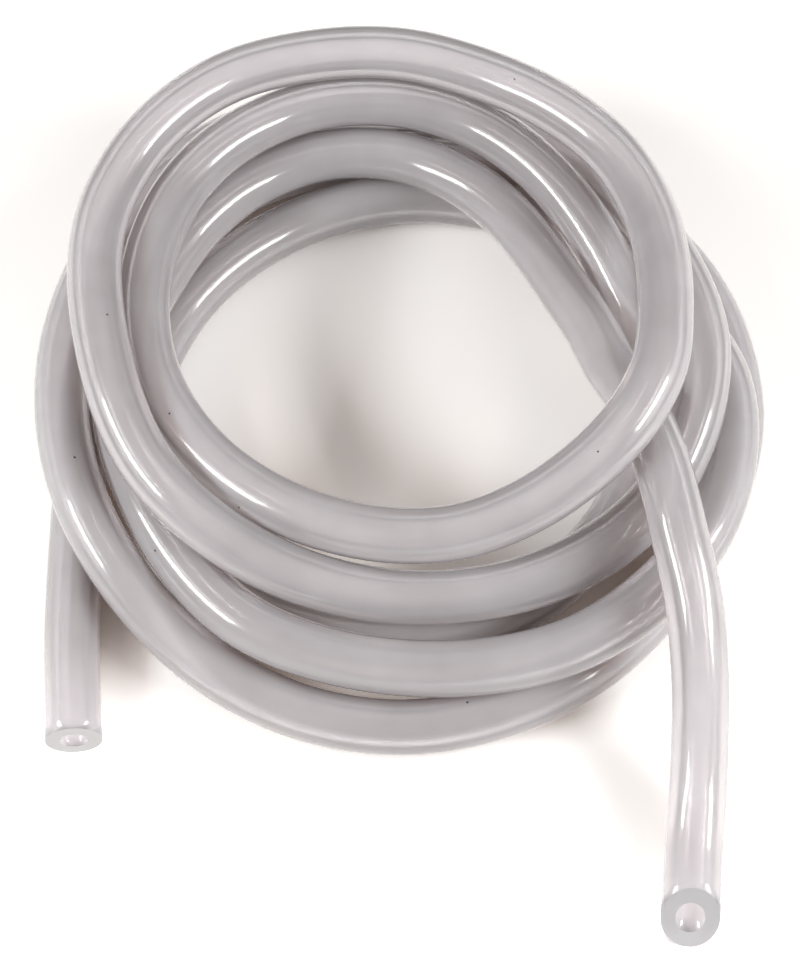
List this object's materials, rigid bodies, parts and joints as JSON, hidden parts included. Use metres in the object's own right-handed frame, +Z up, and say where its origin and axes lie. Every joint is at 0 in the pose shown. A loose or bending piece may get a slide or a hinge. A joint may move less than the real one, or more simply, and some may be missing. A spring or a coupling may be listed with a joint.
{
  "type": "silicone tubing coil",
  "caption": "Length of soft translucent silicone tubing wound into a loose round coil, with one end lying over the coil and cut on a slant, and the other leaving under it and cut square.",
  "frame": {"origin": "on the surface that the coil lies on, under the middle of the box round the whole piece", "axes": "+Z up out of the surface; -Y towards the front, where both ends of the tubing point; +X to the side of the upper end"},
  "size_m": [0.1364, 0.1743, 0.0457],
  "materials": {
    "silicone": "translucent, smooth and slightly glossy"
  },
  "bodies": {
    "root": {"tubing": "silicone"}
  },
  "joints": []
}
